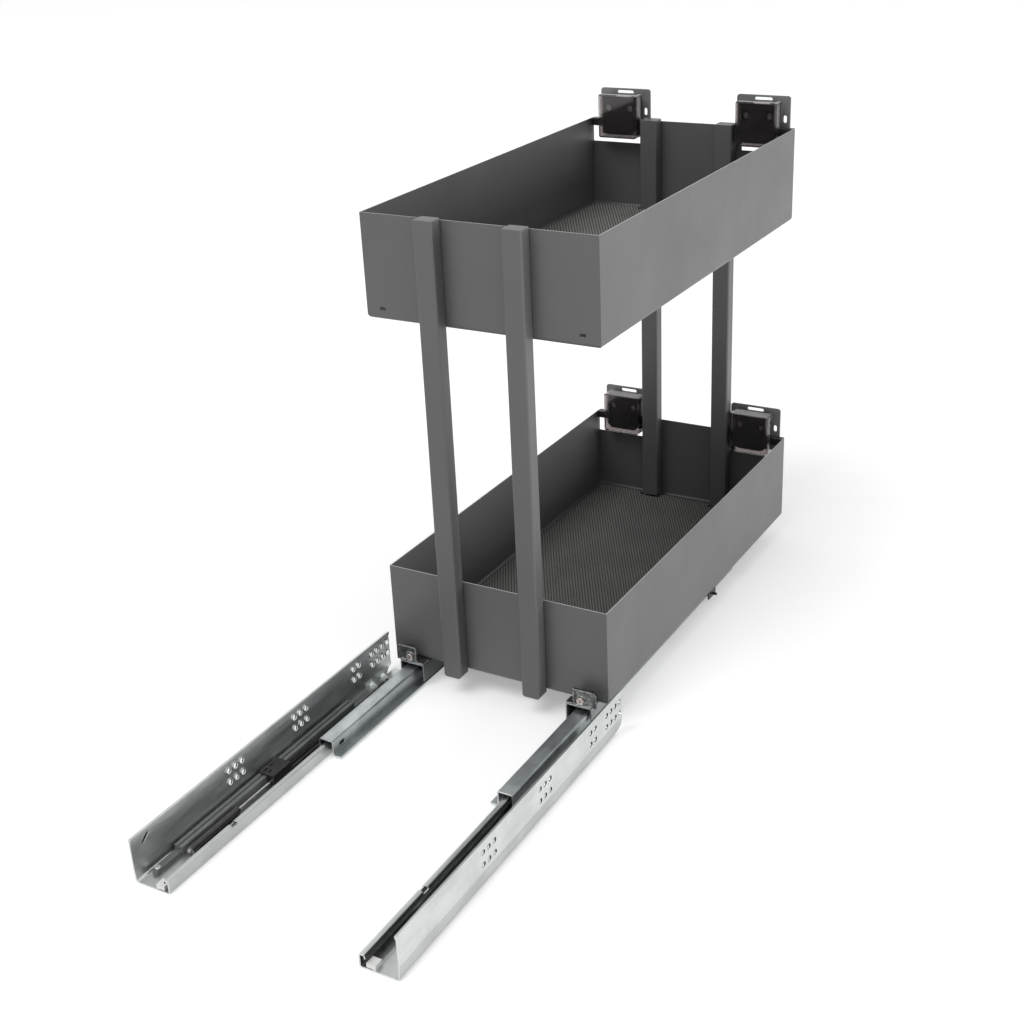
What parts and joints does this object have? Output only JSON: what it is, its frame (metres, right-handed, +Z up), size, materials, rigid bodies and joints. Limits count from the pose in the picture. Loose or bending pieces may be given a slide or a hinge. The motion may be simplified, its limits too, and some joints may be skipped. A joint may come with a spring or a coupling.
{
  "type": "pull out cabinet basket",
  "caption": "Narrow two-tier pull-out basket of folded sheet trays on posts, with full-extension undermount slides, soft-close units and adjustable door brackets.",
  "frame": {"origin": "middle of the bounding box at its bottom: midway across, midway along the object as pulled out, at the underside of the cabinet rails", "axes": "+X across the cabinet to the right as seen from its back, +Y towards the door, +Z up"},
  "size_m": [0.263, 0.848, 0.5063],
  "materials": {
    "grey_coat": "fine satin powder coat",
    "plate_coat": "satin powder coat",
    "zinc": "bright zinc plate",
    "screw_steel": "zinc plate",
    "mat": "open anti-slip lattice",
    "black_plastic": "satin moulded",
    "smoked_plastic": "clear smoked",
    "grey_plastic": "moulded",
    "white_plastic": "moulded"
  },
  "bodies": {
    "cabinet_side": {"cabinet_rail_left": "zinc", "rail_stop_left": "white_plastic", "soft_close_housing_left": "grey_plastic", "damper_left": "screw_steel", "cabinet_rail_right": "zinc", "rail_stop_right": "white_plastic", "soft_close_housing_right": "grey_plastic", "damper_right": "screw_steel", "housing_screws": "screw_steel"},
    "basket": {"lower_tray": "grey_coat", "upper_tray": "grey_coat", "rear_post_left": "grey_coat", "rear_post_right": "grey_coat", "front_post_left": "grey_coat", "front_post_right": "grey_coat", "lower_mat": "mat", "door_plate_lower_left": "plate_coat", "adjuster_lower_left": "black_plastic", "cover_lower_left": "smoked_plastic", "door_plate_lower_right": "plate_coat", "adjuster_lower_right": "black_plastic", "cover_lower_right": "smoked_plastic", "upper_mat": "mat", "door_plate_upper_left": "plate_coat", "adjuster_upper_left": "black_plastic", "cover_upper_left": "smoked_plastic", "door_plate_upper_right": "plate_coat", "adjuster_upper_right": "black_plastic", "cover_upper_right": "smoked_plastic", "post_screws": "screw_steel", "adjusting_screws": "screw_steel", "plate_screws": "screw_steel", "hook_screws": "screw_steel", "drawer_rail_left": "zinc", "rear_hook_left": "zinc", "trigger_left": "black_plastic", "front_catch_left": "black_plastic", "drawer_rail_right": "zinc", "rear_hook_right": "zinc", "trigger_right": "black_plastic", "front_catch_right": "black_plastic"},
    "middle_slide_left": {"middle_rail_left": "zinc"},
    "lower_cage_body_left": {"lower_cage_left": "black_plastic", "lower_rollers_left": "white_plastic"},
    "upper_cage_body_left": {"upper_cage_left": "black_plastic", "upper_rollers_left": "white_plastic"},
    "soft_close_left": {"soft_close_catch_left": "black_plastic", "damper_rod_left": "screw_steel"},
    "lever_left": {"catch_lever_left": "grey_plastic"},
    "middle_slide_right": {"middle_rail_right": "zinc"},
    "lower_cage_body_right": {"lower_cage_right": "black_plastic", "lower_rollers_right": "white_plastic"},
    "upper_cage_body_right": {"upper_cage_right": "black_plastic", "upper_rollers_right": "white_plastic"},
    "soft_close_right": {"soft_close_catch_right": "black_plastic", "damper_rod_right": "screw_steel"},
    "lever_right": {"catch_lever_right": "grey_plastic"}
  },
  "joints": [
    {"name": "basket_slide", "type": "slide", "parent": "cabinet_side", "child": "basket", "axis": [0, 1, 0], "range_m": [-0.35, 0]},
    {"name": "middle_slide_left", "type": "slide", "parent": "cabinet_side", "child": "middle_slide_left", "axis": [0, 1, 0], "range_m": [-0.175, 0]},
    {"name": "lower_cage_slide_left", "type": "slide", "parent": "cabinet_side", "child": "lower_cage_body_left", "axis": [0, 1, 0], "range_m": [-0.0875, 0]},
    {"name": "upper_cage_slide_left", "type": "slide", "parent": "cabinet_side", "child": "upper_cage_body_left", "axis": [0, 1, 0], "range_m": [-0.2625, 0]},
    {"name": "soft_close_slide_left", "type": "slide", "parent": "cabinet_side", "child": "soft_close_left", "axis": [0, 1, 0], "range_m": [-0.045, 0]},
    {"name": "lever_turn_left", "type": "hinge", "parent": "basket", "child": "lever_left", "pos_m": [-0.0995, 0.30125, 0.019], "axis": [0, 0, -1], "range_deg": [0, 12]},
    {"name": "middle_slide_right", "type": "slide", "parent": "cabinet_side", "child": "middle_slide_right", "axis": [0, 1, 0], "range_m": [-0.175, 0]},
    {"name": "lower_cage_slide_right", "type": "slide", "parent": "cabinet_side", "child": "lower_cage_body_right", "axis": [0, 1, 0], "range_m": [-0.0875, 0]},
    {"name": "upper_cage_slide_right", "type": "slide", "parent": "cabinet_side", "child": "upper_cage_body_right", "axis": [0, 1, 0], "range_m": [-0.2625, 0]},
    {"name": "soft_close_slide_right", "type": "slide", "parent": "cabinet_side", "child": "soft_close_right", "axis": [0, 1, 0], "range_m": [-0.045, 0]},
    {"name": "lever_turn_right", "type": "hinge", "parent": "basket", "child": "lever_right", "pos_m": [0.0995, 0.30125, 0.019], "axis": [0, 0, 1], "range_deg": [0, 12]}
  ],
  "couplings": [
    {"joint": "middle_slide_left", "follows": "basket_slide", "ratio": 0.5},
    {"joint": "lower_cage_slide_left", "follows": "basket_slide", "ratio": 0.25},
    {"joint": "upper_cage_slide_left", "follows": "basket_slide", "ratio": 0.75},
    {"joint": "middle_slide_right", "follows": "basket_slide", "ratio": 0.5},
    {"joint": "lower_cage_slide_right", "follows": "basket_slide", "ratio": 0.25},
    {"joint": "upper_cage_slide_right", "follows": "basket_slide", "ratio": 0.75}
  ]
}
